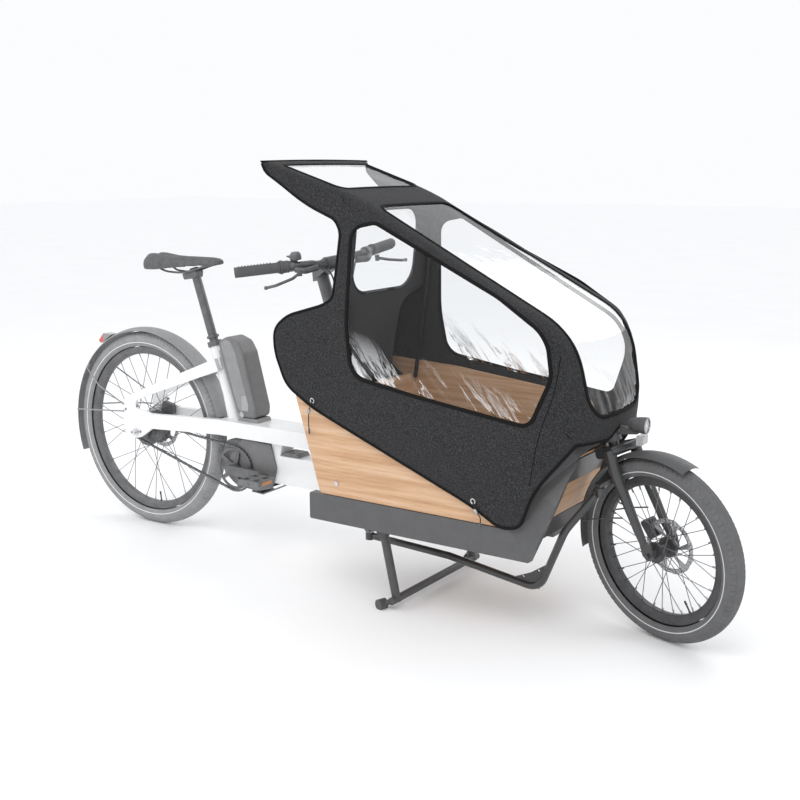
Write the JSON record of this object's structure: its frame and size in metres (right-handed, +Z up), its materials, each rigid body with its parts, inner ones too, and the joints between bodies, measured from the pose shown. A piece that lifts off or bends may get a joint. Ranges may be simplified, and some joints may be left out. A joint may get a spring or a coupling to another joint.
{
  "type": "cargo bicycle",
  "caption": "Long electric cargo bicycle with a low plywood box under a fabric rain canopy, mid motor, battery by the seat tube, linkage steering and a double-leg stand.",
  "frame": {"origin": "on the ground, below the middle of the bicycle's length and width", "axes": "+X forward along the frame, +Y to the rider's left, +Z up"},
  "size_m": [2.5696, 0.579, 1.293],
  "materials": {
    "white_frame": "satin white paint",
    "grey_frame": "satin grey paint",
    "dark_metal": "satin dark anodised",
    "black_metal": "satin black",
    "silver": "satin",
    "steel": "brushed",
    "chain_steel": "oiled",
    "black_plastic": "matte",
    "grey_plastic": "matte",
    "black_rubber": "matte",
    "tyre": "matte with reflective band",
    "plywood": "oiled plywood",
    "leather": "smooth",
    "canopy_cloth": "woven melange",
    "clear_film": "clear flexible film",
    "red_lens": "translucent red",
    "lamp_lens": "clear",
    "elastic": "woven elastic"
  },
  "bodies": {
    "frame": {"rear_axle": "steel", "chain": "chain_steel", "centre_frame": "white_frame", "chain_stays": "white_frame", "seat_stays": "white_frame", "seat_tube": "white_frame", "seat_clamp": "black_metal", "motor": "grey_plastic", "drive_covers": "grey_plastic", "battery_dock": "black_plastic", "rear_fender": "black_plastic", "tail_light": "red_lens", "rear_caliper": "black_metal", "box_rails": "grey_frame", "box_frame": "grey_frame", "front_arms": "grey_frame", "box_floor": "plywood", "box_sides": "plywood", "box_boards": "plywood", "box_screws": "steel", "headlight": "black_plastic", "lamp_lenses": "lamp_lens"},
    "rear_wheel": {"rear_tyre": "tyre", "rear_rim": "black_metal", "rear_spokes": "black_metal", "rear_hub": "black_metal", "rear_disc": "steel"},
    "sprocket": {"sprocket": "chain_steel"},
    "crank": {"crankset": "black_metal"},
    "pedal_right": {"pedal_right": "black_plastic"},
    "pedal_left": {"pedal_left": "black_plastic"},
    "seat": {"seatpost": "black_metal", "saddle": "leather"},
    "battery": {"battery": "black_plastic"},
    "fork": {"fork": "dark_metal", "front_fender": "black_plastic", "front_caliper": "black_metal"},
    "front_wheel": {"front_tyre": "tyre", "front_rim": "black_metal", "front_spokes": "black_metal", "front_hub": "black_metal", "front_disc": "steel"},
    "rod": {"steering_rod": "dark_metal"},
    "bars": {"steering_column": "dark_metal", "handlebar": "black_metal", "grips": "black_rubber", "brake_perches": "black_metal", "bell": "black_metal", "brake_hoses": "black_rubber"},
    "brake_lever_right": {"brake_lever_right": "black_metal"},
    "brake_lever_left": {"brake_lever_left": "black_metal"},
    "shifter": {"shifter": "black_rubber"},
    "bell_lever": {"bell_lever": "black_metal"},
    "stand": {"stand": "black_metal"},
    "canopy": {"canopy_fabric": "canopy_cloth", "canopy_windows": "clear_film", "canopy_poles": "silver", "canopy_eyelets": "silver", "canopy_cords": "elastic", "cord_locks": "silver"}
  },
  "joints": [
    {"name": "rear_wheel_spin", "type": "hinge", "parent": "frame", "child": "rear_wheel", "pos_m": [-0.9145, 0, 0.351], "axis": [0, 1, 0], "continuous": true},
    {"name": "sprocket_spin", "type": "hinge", "parent": "frame", "child": "sprocket", "pos_m": [-0.9145, -0.045, 0.351], "axis": [0, 1, 0], "continuous": true},
    {"name": "crank_spin", "type": "hinge", "parent": "frame", "child": "crank", "pos_m": [-0.4775, 0, 0.273], "axis": [0, 1, 0], "continuous": true, "deforming": ["chain"]},
    {"name": "pedal_right_spin", "type": "hinge", "parent": "crank", "child": "pedal_right", "pos_m": [-0.3075, -0.131, 0.273], "axis": [0, 1, 0], "continuous": true},
    {"name": "pedal_left_spin", "type": "hinge", "parent": "crank", "child": "pedal_left", "pos_m": [-0.6475, 0.131, 0.273], "axis": [0, 1, 0], "continuous": true},
    {"name": "fork_steer", "type": "hinge", "parent": "frame", "child": "fork", "pos_m": [0.97804, 0, 0.24084], "axis": [-0.3256, 0, 0.9455], "range_deg": [-18, 38]},
    {"name": "front_wheel_spin", "type": "hinge", "parent": "fork", "child": "front_wheel", "pos_m": [1.03626, -0.02084, 0.26088], "axis": [0.3031, 0.9472, 0.1044], "continuous": true},
    {"name": "rod_pivot", "type": "hinge", "parent": "fork", "child": "rod", "pos_m": [0.86947, -0.05968, 0.40794], "axis": [-0.3256, 0, 0.9455], "range_deg": [-38, 18]},
    {"name": "bar_steer", "type": "hinge", "parent": "frame", "child": "bars", "pos_m": [-0.1115, 0, 0.9], "axis": [-0.3256, 0, 0.9455], "range_deg": [-18, 38], "deforming": ["brake_hoses"]},
    {"name": "brake_lever_right_pull", "type": "hinge", "parent": "bars", "child": "brake_lever_right", "pos_m": [-0.07489, -0.17324, 0.9647], "axis": [0.0162, 0.1044, -0.9944], "range_deg": [0, 17], "stiffness_Nm_per_rad": 1, "springref_deg": -20.05},
    {"name": "brake_lever_left_pull", "type": "hinge", "parent": "bars", "child": "brake_lever_left", "pos_m": [0.01377, 0.1038, 0.99523], "axis": [-0.0162, -0.1044, 0.9944], "range_deg": [0, 17], "stiffness_Nm_per_rad": 1, "springref_deg": -20.05},
    {"name": "shifter_twist", "type": "hinge", "parent": "bars", "child": "shifter", "pos_m": [-0.09724, -0.12799, 0.98535], "axis": [-0.6702, -0.7363, -0.0931], "range_deg": [-60, 60]},
    {"name": "bell_lever_push", "type": "hinge", "parent": "bars", "child": "bell_lever", "pos_m": [-0.13243, -0.13954, 1.00558], "axis": [-0.0162, -0.1044, 0.9944], "range_deg": [0, 25], "stiffness_Nm_per_rad": 0.02, "springref_deg": -28.65},
    {"name": "seat_slide", "type": "slide", "parent": "frame", "child": "seat", "axis": [-0.3184, 0, 0.948], "range_m": [-0.01, 0.12]},
    {"name": "battery_tilt", "type": "hinge", "parent": "frame", "child": "battery", "pos_m": [-0.3885, 0, 0.451], "axis": [0, 1, 0], "range_deg": [0, 15]},
    {"name": "stand_fold", "type": "hinge", "parent": "frame", "child": "stand", "pos_m": [0.2575, 0, 0.226], "axis": [0, 1, 0], "range_deg": [0, 66]},
    {"name": "canopy_lift", "type": "slide", "parent": "frame", "child": "canopy", "axis": [0.6, 0, 0.8], "range_m": [0, 0.2]}
  ],
  "couplings": [
    {"joint": "sprocket_spin", "follows": "crank_spin", "ratio": 2.25},
    {"joint": "bar_steer", "follows": "fork_steer", "ratio": 1},
    {"joint": "rod_pivot", "follows": "fork_steer", "ratio": -1}
  ]
}
